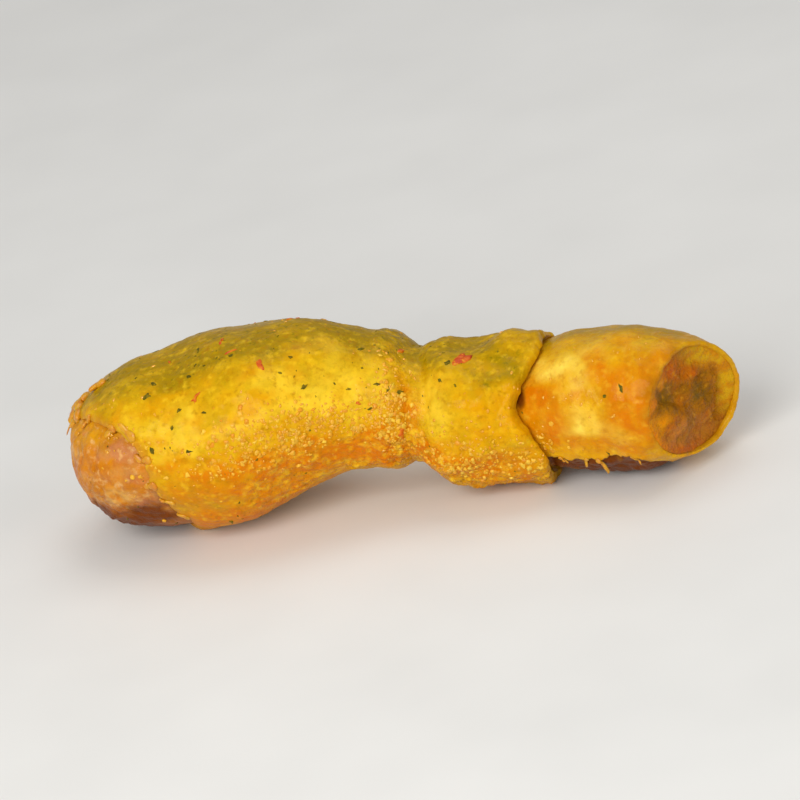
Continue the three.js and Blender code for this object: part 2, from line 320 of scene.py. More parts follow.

# Raw chicken meat is wet and lets light in, so it is pink under the yellow marinade, with a soft gloss. It is
# lightened in front by a painted highlight and darkened brown underneath by painted shade.
tree, shader, place = new_material(
    flesh, "raw meat in marinade",
    {
        "Roughness": 0.42, "IOR": 1.4, "Specular IOR Level": 0.3, "Specular Tint": "#f4c880",
        "Subsurface Weight": 0.12, "Subsurface Radius": (0.0016, 0.0008, 0.0004),
        "Coat Weight": 0.12, "Coat Roughness": 0.1,
    },
)
strand = node(tree, "Mapping", {"Vector": place, "Scale": (0.15, 1, 1)}).outputs[0]
tone = laid_over(
    tree, "#c8762c",
    ("#bc6814", speckle(strand, 2.6, 0.3, 0.7)),
    ("#d07c04", speckle(place, 3.5, 0.42, 0.6, 3)),
    ("#c8805a", speckle(place, 5, 0.5, 0.64, 2), 0.7),
    ("#d69408", "yolk", speckle(place, 2.4, 0.25, 0.5, 3)),
    # painted highlight in front, with paler strands, from the pale share
    ("#dca450", "pale", speckle(place, 2, 0.3, 0.55)),
    ("#e4ae68", speckle(place, 1.3, 0.56, 0.72, 3), 0.8),
    # painted shade: brown on the flesh's underside
    ("#743600", "brown"),
)
grain, lumps = speckle(strand, 2, 0.3, 0.7, 4), speckle(place, 1.2, 0.3, 0.7, 3)
join(shader, tone, [(grain, 0.12), (lumps, 0.2)])
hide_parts("flesh")
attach(flesh, "root")

# The skin. It is a loose sleeve of raw skin, ragged at the knee, tight over the belly, pinched at the
# gather and bunched up in a roll behind the ankle, where it ends in a lip with a scallop in front.
KNUCKLE_RADIUS, KNUCKLE_SWELL = 14, (94, 111)
SKIN, GAP = 1.4, 0.4
HEM, HEM_SLANT, HEM_LOWEST, HEM_TONGUE = 20, 10, 220, 7
CUFF, CUFF_SCALLOP, CUFF_LIFT = 103.5, 4.5, 0.7
ROLL_RADIUS, GATHER, GATHER_DEPTH, FOLD_HEIGHT = 14.8, 77.5, 0.9, 0.9
SKIN_ROWS, LINING_ROWS, SKIN_COLUMNS = 250, 24, 320


def core_radius(along, angle):
    """The flesh's radius, and from the shank on the swelling of the ankle."""
    return flesh_radius(along, angle) + (KNUCKLE_RADIUS - SHANK_RADIUS) * rise(*KNUCKLE_SWELL, along)


def hem_waves(angle):
    """The skin's edge at the knee: a slant round the leg, less a tongue on the upper front, with waves."""
    waves = 0.9 * np.sin(5 * angle + 0.6) + 0.6 * np.sin(9 * angle + 2.2)
    tongue = HEM_TONGUE * hump_round(120, 32, angle)
    return HEM + HEM_SLANT * np.cos(angle - np.radians(HEM_LOWEST)) - tongue + waves


def hem_along(angle):
    """The same edge with tears, the deeper ones about 5 mm apart."""
    fine = 0.6 * ragged(angle, 1.8, 14) + 0.25 * ragged(angle, 0.8, 15)
    return hem_waves(angle) + 1.1 * ragged(angle, 4.5, 13) + fine


def cuff_along(angle):
    """The skin's lip at the ankle: a slight wave, less one wide scallop in front, with nicks."""
    wave = 1.2 * np.sin(angle) + 0.5 * np.sin(4 * angle)
    nicks = 0.45 * ragged(angle, 3.5, 16) + 0.2 * ragged(angle, 1.4, 17)
    return CUFF + wave - CUFF_SCALLOP * hump_round(150, 38, angle) + nicks


def skin_inside(along, angle):
    """The core's radius and a gap, which opens at the lip."""
    return core_radius(along, angle) + GAP + CUFF_LIFT * rise(CUFF - 8, CUFF - 1, along)


def gather_along(angle):
    """The pinch behind the ankle, with two slow waves."""
    return GATHER + 1.8 * np.cos(angle - np.radians(110)) + 0.8 * np.sin(3 * angle)


def skin_outside(along, angle):
    """The lining and the skin's thickness, changed past the gather to the radius of the roll with its
    pleats, plus folds by the gather and two slow waves, and never nearer the lining than a thin skin."""
    gather = gather_along(angle)
    roll = rise(gather, gather + 7, along) * (1 - 0.35 * rise(CUFF - 5, CUFF + 1, along))
    pleats = 0.35 * np.sin(9 * angle + 0.25 * along) + 0.3 * np.sin(5 * angle - 0.2 * along + 1)
    folds = (
        FOLD_HEIGHT * hump(gather - 5, 3, along)
        - GATHER_DEPTH * hump(gather, 1.9, along)
        + FOLD_HEIGHT * hump(gather + 15 + 5 * np.sin(angle + 0.9), 2.2, along) * hump_round(95, 55, angle)
        - FOLD_HEIGHT * hump(gather - 13 - 2 * np.sin(2 * angle), 3.2, along) * hump_round(215, 70, angle)
    )
    loose = 0.4 * np.sin(0.16 * along + 2 * angle + 0.7) + 0.3 * np.sin(0.31 * along - 3 * angle)
    inside = skin_inside(along, angle)
    return np.maximum(mixed(inside + SKIN, ROLL_RADIUS + pleats, roll) + folds + loose, inside + 0.7 * SKIN)


def grains(points, size, seed):
    """Round grains: one centre at a chance place in each cube of a lattice of this size, and at each point
    the height 1 - (d/0.62)² of the nearest one, with the distance d in cube sides, or 0 between them."""
    chance = np.random.default_rng(seed)
    offsets = chance.random((256, 3))
    order = chance.permutation(256)
    cell = np.floor(points / size).astype(int)
    inside = points / size - cell
    nearest = np.full(points.shape[:-1], 9.0)
    for step in np.ndindex(3, 3, 3):
        step = np.array(step) - 1
        x, y, z = np.moveaxis((cell + step) & 255, -1, 0)
        centre = step + offsets[order[(order[(order[x] + y) & 255] + z) & 255]]
        nearest = np.minimum(nearest, np.sum((centre - inside) ** 2, axis=-1))
    return np.maximum(0, 1 - nearest / 0.62**2)


def grainy(along, angle, points):
    """Where fat grains show: low in front, along the gather and low on the roll, in patches."""
    front = hump_round(208, 34, angle) * rise(38, 50, along) * (1 - rise(82, 90, along))
    roll = hump_round(225, 40, angle) * rise(80, 86, along)
    gather = 0.7 * hump(gather_along(angle), 3.5, along) * hump_round(165, 55, angle)
    return np.clip((front + roll + gather) * (0.75 + 0.7 * cloud(points, 6, 21)), 0, 1)


def skin_surface(along, angle):
    """The skin's outer side with its fine relief: slow lumps, creases that run aslant, wrinkles at the
    gather and on the roll, and fat grains. It thins out to nothing at the hem and is round at the lip."""
    inside = skin_inside(along, angle)
    base = leg_place(along, angle, skin_outside(along, angle))
    aslant = base @ [[0.5, 0.1, 0], [0.35, 0.9, 0], [0.4, 0.2, 1]]
    wrinkled = hump(gather_along(angle), 7, along) + 0.6 * rise(84, 92, along)
    relief = 0.3 * cloud(base, 8, 11) + 0.14 * clouds(base, 3, 12)
    relief -= 0.35 * np.maximum(0, cloud(aslant, 3.4, 15)) ** 2 * (0.4 + wrinkled)
    relief -= 0.3 * np.maximum(0, 1 - np.abs(cloud(base * (1, 0.5, 0.5), 3.2, 17)) * 5) * wrinkled
    stirred = base + 0.9 * np.stack([cloud(base, 2.5, 22), cloud(base, 2.5, 23), cloud(base, 2.5, 24)], -1)
    uneven = np.clip(0.55 + 0.9 * cloud(base, 2.8, 25), 0, 1.3)
    fat_grains = uneven * grains(stirred, 2.3, 18) + 0.45 * grains(stirred, 1.2, 19)
    relief += 0.6 * grainy(along, angle, base) * fat_grains
    to_hem = np.clip((along - hem_along(angle)) / 5, 0, 1)
    to_lip = np.clip((cuff_along(angle) - along) / (0.8 * SKIN), 0, 1)
    full = (1 - (1 - to_hem) ** 3) * np.sqrt(1 - (1 - to_lip) ** 2)
    outside = skin_outside(along, angle) + relief * rise(0, 4, along - hem_along(angle))
    return leg_place(along, angle, mixed(inside + 0.15, np.maximum(outside, inside + 0.6 * SKIN), full))


round_leg = angles_round(SKIN_COLUMNS)
outer_steps = np.linspace(0, 1, SKIN_ROWS)[:, None]
outer_along = mixed(hem_along(round_leg), cuff_along(round_leg), outer_steps)
inner_along = mixed(cuff_along(round_leg), hem_along(round_leg), np.linspace(0, 1, LINING_ROWS)[:, None])
outer = skin_surface(outer_along, round_leg)
lining = leg_place(inner_along, round_leg, skin_inside(inner_along, round_leg), SKIN)
spots = np.vstack([outer, lining])
skin = wrapped("skin_sleeve", spots, "joined")

along = np.vstack([outer_along, inner_along])
angle = np.broadcast_to(round_leg, along.shape)
places = astray(along, angle, spots, 31)
fat = grainy(along, angle, spots)
crease = hump(gather_along(angle) - 2.5, 2.2, places[0])
paint(
    skin,
    # olive on top: partly herb-stained marinade, partly painted shade where the top turns away from the light
    olive=patches(
        places, (14, 95, 8, 22, 0.8), (26, 104, 10, 22, 1), (42, 104, 14, 24, 1), (62, 92, 16, 22, 1),
        (88, 96, 9, 26, 0.9), (98, 114, 5, 18, 1), (34, 125, 6, 8, 0.5), (40, 55, 40, 32, 0.8),
        (90, 50, 12, 32, 0.8), (75, 60, 8, 40, 0.6),
    ) + 0.35 * clouds(spots, 5, 36),
    # lighter yellow in front where the light falls: partly the marinade's own yellow, partly painted light
    bright=patches(
        places, (63, 146, 14, 20, 0.9), (40, 158, 12, 7, 1), (61, 162, 7, 9, 1), (83, 152, 4.5, 22, 1.1),
        (28, 148, 7, 5, 0.5), (68, 118, 6, 8, 0.35), (50, 330, 20, 30, 0.5),
    ) + 0.3 * clouds(spots, 4, 37) - 0.1,
    deep=patches(
        places, (48, 152, 9, 4, 1), (30, 134, 8, 6, 0.7), (93, 160, 5, 30, 0.9), (56, 172, 6, 5, 0.4),
        (99, 168, 2, 22, 0.8), (70, 180, 6, 16, 0.5), (60, 240, 30, 20, 0.5), (14, 128, 6, 10, 0.8),
        (45, 138, 8, 6, 0.3),
    ) + 0.6 * crease * hump_round(150, 60, angle) + 0.35 * cloud(spots, 3, 38),
    orange=patches(
        places, (43, 186, 12, 11, 1.1), (56, 194, 8, 12, 1.1), (29, 170, 6, 9, 0.7),
        (86, 197, 11, 13, 1.3), (73, 204, 6, 16, 1.2), (68, 204, 8, 14, 0.9), (40, 225, 30, 24, 1),
        (92, 236, 12, 30, 0.9), (60, 290, 40, 30, 0.6), (20, 142, 6, 6, 0.5),
    ) + 0.8 * crease * hump_round(165, 42, angle) * (1 + cloud(spots, 4, 40)) + 0.3 * clouds(spots, 4, 39),
    fat=rise(0.3, 0.9, fat * (0.9 + 0.8 * cloud(spots, 2.5, 33)))
    * (0.4 + 0.6 * rise(0, 0.5, cloud(spots, 1.6, 35))),
    thin=(1 - rise(0, 3, along - hem_along(angle))) * (0.6 + 0.5 * cloud(spots, 3, 34)),
    wet=np.clip(fat + 0.7 * crease, 0, 1),
)

# Raw skin soaked in oil and turmeric is yellow, paler in front where painted light falls, olive on top where
# herbs gather and shade is painted, and orange where the marinade runs down, with pores about 2 mm apart.
# It is satin where smooth and wet over the fat.
DRY_ROUGHNESS, WET_ROUGHNESS = 0.46, 0.2
PORE_SPACING = 1.9
RAW_SKIN = {
    "IOR": 1.4, "Specular Tint": "#f6cc60",
    "Subsurface Weight": 0.1, "Subsurface Radius": (0.0012, 0.0008, 0.0003),
}
tree, shader, place = new_material(
    skin, "raw skin in turmeric oil",
    {**RAW_SKIN, "Specular IOR Level": 0.25, "Coat Weight": 0.08, "Coat Roughness": 0.12},
)
aslant = node(tree, "Mapping", {"Vector": place, "Scale": (0.45, 1, 1), "Rotation": (0, 0.4, 0.5)}).outputs[0]
tone = laid_over(
    tree, "#dcae10",
    ("#d09a06", speckle(aslant, 6, 0.38, 0.62, 3)),
    # painted light, paler yellow on the lit front, with some of the marinade's own yellow
    ("#f4cb30", "bright", speckle(aslant, 3, 0.1, 0.45)),
    ("#dd9c00", "deep", speckle(aslant, 2.5, 0.2, 0.55)),
    ("#d87800", "orange", speckle(place, 3, 0.05, 0.42)),
    # olive: herbs on top, with painted shade
    ("#a28000", "olive", speckle(aslant, 4, 0.1, 0.5, 3)),
    ("#6e6400", "olive", speckle(place, 0.9, 0.56, 0.8, 3)),
    ("#f2be28", "fat", speckle(place, 1.3, 0.4, 0.6)),
    ("#c98a28", "thin"),
    ("#f0c220", speckle(place, 1.5, 0.52, 0.8, 3), 0.7),
    ("#a87000", speckle(place, 1.1, 0.52, 0.8, 3), speckle(place, 6, 0.2, 0.7)),
)
wetness = product(tree, "wet", speckle(place, 1.2, 0.35, 0.6))
limits = {"Value": wetness, "To Min": DRY_ROUGHNESS, "To Max": WET_ROUGHNESS}
gloss = node(tree, "MapRange", limits).outputs[0]
tree.links.new(gloss, shader.inputs["Roughness"])
pores = node(tree, "TexVoronoi", {"Vector": place, "Scale": 1000 / PORE_SPACING}).outputs["Distance"]
pores = node(tree, "MapRange", {"Value": pores, "From Min": 0.1, "From Max": 0.4}, clamp=True).outputs[0]
rough = product(tree, "wet", speckle(place, 0.8, 0.35, 0.65, 3))
join(shader, tone, [(speckle(place, 1.4, 0.3, 0.7, 3), 0.12), (pores, 0.05), (rough, 0.2)])
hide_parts("skin")
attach(skin, "root")

# The ankle. It is a knob of tight skin over gristle, with a bump on each side of the joint, bent to the
# front and cut open across its end, where its edge stands round the head of the bone. Low in front the skin
# is torn off in a ragged line, and the brown gristle under it shows, darkened by painted shade. Painted
# shadow also darkens the knob just under the cuff's scallop.
KNUCKLE_START, KNUCKLE_END = 92.7, 134
KNUCKLE_BUMP, BUMP_PLACE, CHIN = 0.9, 118, 257
RIM, CUP_DEPTH, BEVEL = 1.2, 6, 0.8
TORN_DEPTH, WORN_DEPTH, WORN_LENGTH, WORN_FRONT = 0.9, 2.4, 7, (165, 60)
KNUCKLE_ROWS, LIP_ROWS, CUP_ROWS, KNUCKLE_COLUMNS = 140, 9, 16, 320


def knuckle_radius(along, angle):
    """The core's radius with its bumps and a hollow between, narrower at the rim, most at the chin."""
    bumps = hump_round(120, 40, angle) + hump_round(250, 45, angle) - 0.7 * hump_round(190, 25, angle)
    narrow = (1.3 + 2.2 * hump_round(CHIN, 50, angle)) * rise(KNUCKLE_END - 12, KNUCKLE_END, along)
    return core_radius(along, angle) + KNUCKLE_BUMP * bumps * hump(BUMP_PLACE, 9, along) - narrow


def rim_along(angle):
    """The edge of the cut, drawn back at the chin, with a slight wave and nicks."""
    nicks = 0.3 * ragged(angle, 4, 26) + 0.12 * ragged(angle, 1.5, 27)
    return KNUCKLE_END - 1.6 * hump_round(CHIN, 50, angle) + 0.4 * np.sin(3 * angle + 1) + nicks


def torn_off(along, angle):
    """1 where the skin is missing: from a jagged line at about 209 degrees to one underneath, between the
    cuff and the rim, each edge steep but not sharp."""
    along_only = np.stack([along, 0 * along, 0 * along], -1)
    jagged = 5 * cloud(along_only, 9, 48) + 4 * cloud(along_only, 3, 49) + 2 * cloud(along_only, 1.2, 50)
    turned = np.degrees(angle)
    across = rise(207, 211, turned + jagged) * (1 - rise(268, 278, turned - jagged))
    return across * rise(101, 103, along) * (1 - rise(127.5, 130, along + 0.6 * np.sin(7 * angle)))


def worn_off(along, angle):
    """How much the front edge of the cut is rounded off: a quarter of an oval over the last millimetres."""
    t = np.clip(1 - (rim_along(angle) - RIM / 2 - along) / WORN_LENGTH, 0, 1)
    return WORN_DEPTH * hump_round(*WORN_FRONT, angle) * (1 - np.sqrt(1 - 0.97 * t**2))


def crest_height(angle):
    """How far the rim stands past its edge: half its width, and hardly at all where it is worn."""
    return RIM / 2 * (1 - 0.85 * hump_round(*WORN_FRONT, angle))


def knuckle_surface(along, angle):
    """The knob's outer side with slow lumps, soft creases, and lumps of gristle where it is torn."""
    radius = knuckle_radius(along, angle) - worn_off(along, angle)
    base = leg_place(along, angle, radius)
    torn = torn_off(along, angle)
    relief = 0.4 * cloud(base, 8, 41) + 0.12 * clouds(base, 3, 42)
    relief -= 0.12 * np.maximum(0, 1 - 4 * np.abs(cloud(base * (1, 0.5, 0.5), 6, 43)))
    relief += torn * (0.8 * cloud(base, 5, 45) + 0.3 * cloud(base, 1.8, 46) - TORN_DEPTH)
    relief += 0.35 * hump(0.5, 0.35, torn) * (1 + 0.5 * cloud(base, 1.5, 47))
    floor = (SKIN + GAP) * (1 - rise(CUFF + 0.5, CUFF + 5, along))
    return leg_place(along, angle, radius + relief * rise(CUFF - 6, CUFF, along), floor)


round_leg = angles_round(KNUCKLE_COLUMNS)
start_radius = knuckle_radius(KNUCKLE_START, round_leg) - BEVEL
start = leg_place(KNUCKLE_START + 0 * round_leg, round_leg, start_radius, SKIN + GAP)
edge = rim_along(round_leg) - RIM / 2
knob_along = mixed(KNUCKLE_START + BEVEL, edge, np.linspace(0, 1, KNUCKLE_ROWS)[:, None])
knob = knuckle_surface(knob_along, round_leg)
turn = np.radians(np.linspace(0, 180, LIP_ROWS)[1:, None])
edge_radius = np.linalg.norm(knob[-1] - leg_place(edge, round_leg, 0 * edge), axis=-1)
lip_along = edge + crest_height(round_leg) * np.sin(turn)
lip = leg_place(lip_along, round_leg, edge_radius - RIM / 2 * (1 - np.cos(turn)))
cup_along = edge - np.linspace(0, 1, CUP_ROWS)[1:, None] * (CUP_DEPTH - RIM / 2)
cup = leg_place(cup_along, round_leg, edge_radius - RIM + 0 * cup_along)
bottom_along = KNUCKLE_END - CUP_DEPTH + 0 * round_leg
bottom = leg_place(bottom_along, round_leg, (edge_radius - RIM) * 0.5)
spots = np.vstack([start, knob, lip, cup, bottom])
knuckle = wrapped("ankle_knob", spots, "points")

along = np.vstack([0 * edge + KNUCKLE_START, knob_along, lip_along, cup_along, bottom_along])
angle = np.broadcast_to(round_leg, along.shape)
in_cup = np.zeros(along.shape)
in_cup[1 + KNUCKLE_ROWS + LIP_ROWS // 2 :] = 1
places = astray(along, angle, spots, 51, 0.8)
# painted shadow cast by the cuff's scallop onto the knob
painted_shadow_under_scallop = patches((along, angle), (99.6, 145, 1.6, 16, 1))
paint(
    knuckle,
    # olive on top: partly marinade, partly painted shade where the top turns away from the light
    olive=patches(
        places, (112, 82, 10, 20, 0.8), (126, 76, 8, 26, 0.8), (108, 40, 10, 40, 0.5),
        (122, 20, 12, 40, 0.4),
    ) + 0.25 * cloud(spots, 5, 56),
    orange=patches(
        places, (103, 154, 5, 20, 1.2), (105, 184, 5, 12, 0.9), (113, 148, 4, 8, 0.5),
        (124, 155, 5, 26, 0.9), (119, 122, 5, 14, 0.7), (118, 196, 10, 9, 0.7), (112, 320, 12, 40, 0.6),
        (131, 150, 5, 50, 1.2),
    ) + 0.3 * clouds(spots, 4, 57),
    # pale: painted highlights on the upper front of the knob, with some paler skin
    pale=patches(
        places, (107, 121, 4, 9, 1), (113, 133, 4, 12, 0.9), (111, 174, 6, 9, 0.9), (120, 182, 6, 8, 0.6),
        (116, 108, 5, 8, 0.5),
    ) + 0.25 * clouds(spots, 3, 53),
    brown=np.maximum(
        in_cup * (0.2 + 0.8 * hump_round(215, 80, angle)),
        patches(places, (136, 118, 3, 20, 0.8), (136, 210, 4, 24, 1), (134, 150, 4, 50, 0.4))
        + 0.3 * cloud(spots, 2.5, 58) - 0.1,
    ),
    # torn: bare gristle underneath, darkened by painted shade, and the painted shadow under the scallop
    torn=np.maximum(rise(0.2, 0.8, torn_off(along, angle)), rise(0.4, 0.9, painted_shadow_under_scallop)),
)

# The skin here is drawn tight over gristle, so it is smoother than on the leg, with a soft wet gloss, and
# it turns from yellow through orange to brown towards the cut. It is olive on top, partly painted shade, and
# pale in places on the upper front, partly a painted highlight.
tree, shader, place = new_material(
    knuckle, "tight raw skin over gristle",
    {**RAW_SKIN, "Roughness": 0.36, "Specular IOR Level": 0.28, "Coat Weight": 0.1, "Coat Roughness": 0.14},
)
streak = node(tree, "Mapping", {"Vector": place, "Scale": (1, 0.5, 0.5), "Rotation": (0, 0, -0.4)}).outputs[0]
tone = laid_over(
    tree, "#e2aa0c",
    ("#d79604", speckle(streak, 5, 0.38, 0.62, 3)),
    # painted highlight, pale on the knob's upper front, from the pale share
    ("#f7d552", "pale", speckle(streak, 3, 0.1, 0.5)),
    ("#d47600", "orange", speckle(streak, 3, 0.1, 0.5)),
    # olive: marinade and painted shade on top
    ("#ad8706", "olive", speckle(streak, 4, 0.05, 0.5, 3)),
    ("#f0c030", speckle(place, 1.7, 0.54, 0.8, 3), 0.5),
    ("#bd7400", speckle(place, 1.3, 0.52, 0.8, 3), speckle(place, 6, 0.2, 0.7)),
    ("#9a5a04", "brown"),
    # dark brown gristle where the skin is torn off, partly painted shade, and painted shadow under the
    # scallop
    ("#6e3404", "torn", speckle(place, 3, -0.4, 0.4)),
)
join(shader, tone, [(speckle(place, 0.9, 0.3, 0.7, 4), 0.12)])
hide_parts("knuckle")
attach(knuckle, "root")

# The bone. Its shaft is hidden in the leg, and its knobbly head, brown with marrow and dried blood, fills
# the cut in the ankle and meets the skin in front. It has a groove across it and pinkish lumps low down.
BONE_GAP, BONE_SHAFT, BONE_START = 0.5, 4.3, 24
BONE_COLUMNS, DOME_ROWS, SHAFT_ROWS = 240, 80, 40
neck = KNUCKLE_END - CUP_DEPTH + BONE_GAP


def bone_top(share, angle):
    """How far along the head's face lies at a share of its radius: a shallow dome with two lobes and a
    groove. In front it rises to the rim's crest, and at the back its gristle lines the rim's inner side."""
    lobes = 0.9 * (1 - share / 2) * np.cos(2 * angle - 1) - 0.4 * np.cos(angle)
    dome = KNUCKLE_END - 0.6 - 0.8 * share**2 + share * lobes
    front, back = hump_round(165, 70, angle), hump_round(15, 66, angle)
    rim = rim_along(angle)
    raised = mixed(dome, rim - RIM / 2 + crest_height(angle) + 0.06, rise(0.35, 1, share) * front)
    lined = mixed(raised, rim - 0.3, rise(0.7, 1, share) * back)
    return lined - 0.3 * hump(0.74, 0.08, share) * back


round_leg = angles_round(BONE_COLUMNS)
edge = rim_along(round_leg) - RIM / 2
edge_radius = np.linalg.norm(knuckle_surface(edge, round_leg) - leg_place(edge, round_leg, 0 * edge), axis=-1)
head = edge_radius - RIM + 0.1 + 0.65 * hump_round(165, 66, round_leg)
shaft_along = np.linspace(BONE_START, neck - 3.4, SHAFT_ROWS)[:, None] + 0 * round_leg
shaft_radius = BONE_SHAFT * np.sqrt(1 - (1 - np.clip((shaft_along - BONE_START) / 1.5, 0.02, 1)) ** 2)
shaft = leg_place(shaft_along, round_leg, shaft_radius)
brim = leg_place(neck + 0.4 + 0 * round_leg, round_leg, head * 0.93)
share = np.linspace(1, 0.02, DOME_ROWS)[:, None]
face_along = bone_top(share, round_leg)
flat = leg_place(face_along, round_leg, head * share)
lumps = 0.8 * clouds(flat, 5, 61) + 0.12 * cloud(flat, 1, 63)
lumps += 0.3 * grains(flat, 2.6, 62) * hump_round(250, 70, round_leg)
lumps -= 0.45 * np.maximum(0, 1 - 4 * np.abs(cloud(flat, 7, 64)))
lumps *= rise(0, 0.25, 1 - share) * (1 - 0.8 * rise(0.65, 0.8, share) * hump_round(15, 66, round_leg))
face = leg_place(face_along + lumps, round_leg, head * share)
bone = wrapped("bone_head", np.vstack([shaft, brim, face]), "points")
spots = np.vstack([shaft, brim, flat])
out = np.vstack([0 * shaft_along, 1 + 0 * round_leg, share + 0 * round_leg])
angle = np.broadcast_to(round_leg, out.shape)
places = 10 * out, angle
paint(
    bone,
    # gold: an orange streak in front, and near the rim on the upper back a painted highlight
    gold=patches(places, (8.5, 184, 3, 12, 1), (7.6, 52, 1.4, 14, 0.9)) + 0.25 * clouds(spots, 3, 71),
    pink=patches(places, (6, 262, 4, 40, 1.2), (7, 225, 3, 22, 1)) + 0.3 * cloud(spots, 3, 72),
    dark=patches(places, (6, 138, 2.2, 26, 1.1), (3, 20, 3, 50, 0.9)) + 0.4 * clouds(spots, 4, 73),
    rust=patches(
        places, (9.4, 255, 1.4, 34, 1), (8.2, 102, 1.8, 18, 1.2), (5.5, 72, 1.6, 24, 0.9),
        (6, 188, 2.5, 14, 0.9),
    ) + 0.3 * clouds(spots, 2.5, 76),
    rind=rise(0.62, 0.84, out + 0.12 * clouds(spots, 3, 74)) * rise(0.3, 0.7, hump_round(25, 66, angle)),
    skin=rise(0.74, 1, out + 0.24 * clouds(spots, 3.5, 75)) * rise(0.3, 0.7, hump_round(*WORN_FRONT, angle)),
)

# The cut head of a raw bone is spongy and wet: brown and olive in patches, pinkish on its gristle. In front
# the knob's skin runs on over its edge, in the same streaks.
tree, shader, place = new_material(
    bone, "cut bone and gristle",
    {
        "Roughness": 0.36, "Specular IOR Level": 0.25, "Specular Tint": "#f4c070",
        "Subsurface Weight": 0.05, "Subsurface Radius": (0.001, 0.0006, 0.0003),
        "Coat Weight": 0.08, "Coat Roughness": 0.12,
    },
)
streak = node(tree, "Mapping", {"Vector": place, "Scale": (1, 0.5, 0.5), "Rotation": (0, 0, -0.4)}).outputs[0]
rind = laid_over(tree, "#cb9a0c", ("#c47c04", speckle(place, 2.4, 0.4, 0.6, 3)))
drawn_over = laid_over(
    tree, "#e2aa0c",
    ("#d79604", speckle(streak, 5, 0.38, 0.62, 3)),
    ("#da7600", 0.9, speckle(streak, 3, 0.1, 0.5)),
)
tone = laid_over(
    tree, "#a86600",
    ("#905400", speckle(place, 2.4, 0.35, 0.65, 3)),
    ("#b8702c", "pink", speckle(place, 1.6, 0.2, 0.5)),
    ("#725200", "dark", speckle(place, 2.2, 0.1, 0.5)),
    ("#bc5a00", "rust", speckle(place, 2, 0.2, 0.5)),
    # orange streak in front, and a painted highlight near the rim on the upper back
    ("#d48a00", "gold"),
    ("#c88818", speckle(place, 1.2, 0.56, 0.74), 0.7),
    (rind, "rind"),
    (drawn_over, "skin"),
)
join(shader, tone, [(speckle(place, 0.7, 0.3, 0.7, 4), 0.2)])
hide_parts("bone")
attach(bone, "root")

# Chilli flakes. They are chips of dried red chilli, softened and glossy in the oil, lying flat on the skin,
# half sunk in it. The largest lie where the photograph shows them, and the others are strewn.
CHILLI_SEEN = [(45, 113, 1.9), (38, 138, 2.5), (76.5, 95, 2.6), (89, 110, 4.2), (76, 182, 3.1)]
CHILLI_TURN = (20, 40, 60, 64, 85)
CHILLI_STREWN, CHILLI_LENGTH, CHILLI_SMALL = 5, (1.8, 3), 16
HERB_STREWN, HERB_LENGTH = 22, (1.2, 2.2)
STREWN_ALONG, STREWN_HEIGHT, SEED = (24, 100), 4, 11


def strewn_places():
    """The same chance places as on the solid skin: the state goes to (1664525 state + 1013904223) mod 2³²,
    a draw is the state over 2³², and each flake takes three, for its place along, its angle and its length.
    It is kept if it lies on the skin, clear of its edges and not low down."""
    state, places = SEED, {"chilli": [], "herb": []}
    kinds = (("chilli", CHILLI_STREWN, CHILLI_LENGTH), ("herb", HERB_STREWN, HERB_LENGTH))
    for kind, count, lengths in kinds:
        for _ in range(count):
            draws = []
            for _ in range(3):
                state = (state * 1664525 + 1013904223) % 2**32
                draws.append(state / 2**32)
            along, angle = mixed(*STREWN_ALONG, draws[0]), 2 * np.pi * draws[1]
            length = mixed(*lengths, draws[2])
            clear = hem_waves(angle) + 2 < along < cuff_along(angle) - 3
            if clear and leg_place(along, angle, skin_outside(along, angle))[2] > STREWN_HEIGHT:
                places[kind].append((along, np.degrees(angle), length))
    return places


def unit(ways):
    """The same directions with a length of 1."""
    return ways / np.linalg.norm(ways, axis=-1, keepdims=True)


def on_leg(along, degrees):
    """The point on the shown surface at each place, and its directions lengthwise, round and outwards."""
    angle = np.radians(degrees)

    def shown_at(further, round_by):
        a, b = along + further, angle + round_by
        shown = skin_surface(a, b)
        shown[a < hem_along(b)] = leg_place(a, b, flesh_radius(a, b))[a < hem_along(b)]
        past = a > cuff_along(b)
        shown[past] = knuckle_surface(a, b)[past]
        return shown

    lengthwise = unit(shown_at(0.5, 0) - shown_at(-0.5, 0))
    outward = unit(np.cross(shown_at(0, 0.03) - shown_at(0, -0.03), lengthwise))
    return shown_at(0, 0), lengthwise, np.cross(outward, lengthwise), outward


def closed_shapes(name, points, rows, columns):
    """One mesh of closed shapes, each with points in a grid whose columns go round it, and two tips."""
    index = np.arange(rows * columns).reshape(rows, columns)
    over = np.roll(index, -1, axis=1)
    quads = np.stack([index[:-1], index[1:], over[1:], over[:-1]], -1).reshape(-1, 4)
    first = np.stack([index[0], over[0], 0 * index[0] + rows * columns], -1)
    last = np.stack([over[-1], index[-1], 0 * index[-1] + rows * columns + 1], -1)
    jumps = (np.arange(len(points)) * (rows * columns + 2))[:, None, None]
    faces = (quads + jumps).reshape(-1, 4).tolist()
    faces += (np.vstack([first, last]) + jumps).reshape(-1, 3).tolist()
    return new_piece(name, points.reshape(-1, 3), faces)


